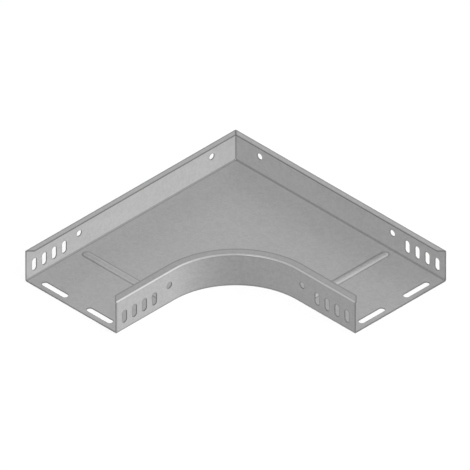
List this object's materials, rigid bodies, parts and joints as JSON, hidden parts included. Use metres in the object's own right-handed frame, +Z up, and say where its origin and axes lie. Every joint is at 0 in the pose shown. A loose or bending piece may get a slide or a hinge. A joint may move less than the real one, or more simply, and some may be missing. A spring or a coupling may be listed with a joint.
{
  "type": "cable tray bend",
  "caption": "Flat right-angle bend for a sheet steel cable tray, with inward lips, slotted ends and a rolled inner side wall.",
  "frame": {"origin": "centre of the overall box, on the underside of the floor", "axes": "+Z up out of the channel; the outer corner is at -X +Y, one leg runs from it along -Y and the other along +X"},
  "size_m": [0.47, 0.47, 0.06],
  "materials": {
    "galvanised_sheet": "strip galvanised, smooth, fine grain, satin"
  },
  "bodies": {
    "root": {"tray_body": "galvanised_sheet", "inner_side_wall": "galvanised_sheet"}
  },
  "joints": []
}
